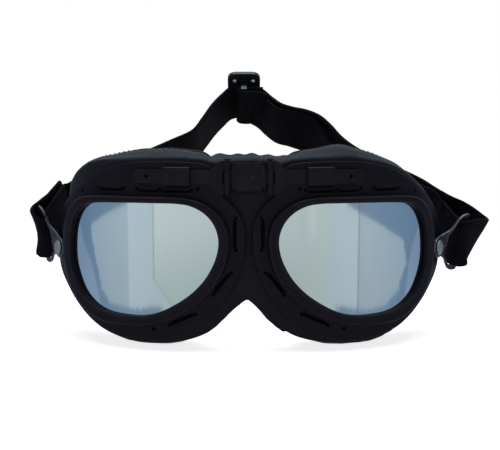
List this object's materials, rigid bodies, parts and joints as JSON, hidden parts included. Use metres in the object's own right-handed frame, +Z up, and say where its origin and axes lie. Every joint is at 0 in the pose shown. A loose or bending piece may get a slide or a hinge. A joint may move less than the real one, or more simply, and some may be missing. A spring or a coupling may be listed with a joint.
{
  "type": "motorcycle goggles",
  "caption": "Vintage pilot-style goggles: hinged vented metal frames, curved mirror lenses, padded vinyl mask, swivelling strap clips, elastic strap with slider.",
  "frame": {"origin": "centre of the bridge plate's flat front face, on the mid-plane between the two lenses", "axes": "+Z up as worn; the goggles look along -Y; +X is the wearer's left; the strap runs back along +Y"},
  "size_m": [0.239, 0.1435, 0.1356],
  "materials": {
    "frame_paint": "black stove enamel on stamped steel, soft gloss",
    "mirror_lens": "silver mirror coating on a curved plastic lens",
    "seal_rubber": "matte black rubber",
    "dark_steel": "blackened steel with bare edges",
    "rivet_steel": "plain grey steel rivet",
    "vinyl": "black grained vinyl over thin foam",
    "pad_fabric": "black brushed fabric over foam",
    "webbing": "black woven elastic webbing",
    "gloss_slider": "gloss black moulded plastic"
  },
  "bodies": {
    "bridge": {"bridge_plate": "dark_steel", "bridge_rivet": "rivet_steel", "hinge_pin_right": "dark_steel", "hinge_pin_left": "dark_steel", "mask_nose_bridge": "vinyl", "strap_main_band": "webbing", "strap_inner_band": "webbing"},
    "leaf_right": {"hinge_leaf_right": "dark_steel"},
    "leaf_left": {"hinge_leaf_left": "dark_steel"},
    "frame_right": {"frame_plate_right": "frame_paint", "lens_rim_right": "frame_paint", "lens_right": "mirror_lens", "lens_seal_right": "seal_rubber", "lens_retainer_right": "dark_steel", "mask_shell_right": "vinyl", "face_pad_right": "pad_fabric", "bridge_keeper_right": "frame_paint", "strap_rivet_right": "rivet_steel", "rivet_washer_right": "dark_steel"},
    "frame_left": {"frame_plate_left": "frame_paint", "lens_rim_left": "frame_paint", "lens_left": "mirror_lens", "lens_seal_left": "seal_rubber", "lens_retainer_left": "dark_steel", "mask_shell_left": "vinyl", "face_pad_left": "pad_fabric", "bridge_keeper_left": "frame_paint", "strap_rivet_left": "rivet_steel", "rivet_washer_left": "dark_steel"},
    "clip_right": {"strap_clip_right": "dark_steel", "strap_loop_right": "webbing"},
    "clip_left": {"strap_clip_left": "dark_steel", "strap_loop_left": "webbing"},
    "slider": {"strap_slider": "gloss_slider", "strap_end_loop": "webbing"}
  },
  "joints": [
    {"name": "nose_hinge_right", "type": "hinge", "parent": "bridge", "child": "leaf_right", "pos_m": [-0.01, -0.0004, 0], "axis": [0, 0, -1], "range_deg": [-10, 15], "deforming": ["strap_main_band"]},
    {"name": "nose_hinge_left", "type": "hinge", "parent": "bridge", "child": "leaf_left", "pos_m": [0.01, -0.0004, 0], "axis": [0, 0, 1], "range_deg": [-10, 15], "deforming": ["strap_inner_band"]},
    {"name": "eye_spacing_right", "type": "slide", "parent": "leaf_right", "child": "frame_right", "axis": [-0.9659, 0.2588, 0], "range_m": [-0.0005, 0.0025]},
    {"name": "eye_spacing_left", "type": "slide", "parent": "leaf_left", "child": "frame_left", "axis": [0.9659, 0.2588, 0], "range_m": [-0.0005, 0.0025]},
    {"name": "clip_swivel_right", "type": "hinge", "parent": "frame_right", "child": "clip_right", "pos_m": [-0.09478, 0.04313, -0.0385], "axis": [0.864, 0.5034, 0], "range_deg": [-38, 20]},
    {"name": "clip_swivel_left", "type": "hinge", "parent": "frame_left", "child": "clip_left", "pos_m": [0.09478, 0.04313, -0.0385], "axis": [0.864, -0.5034, 0], "range_deg": [-27, 20]},
    {"name": "strap_adjust", "type": "slide", "parent": "bridge", "child": "slider", "axis": [1, 0, 0], "range_m": [-0.003, 0.003]}
  ]
}
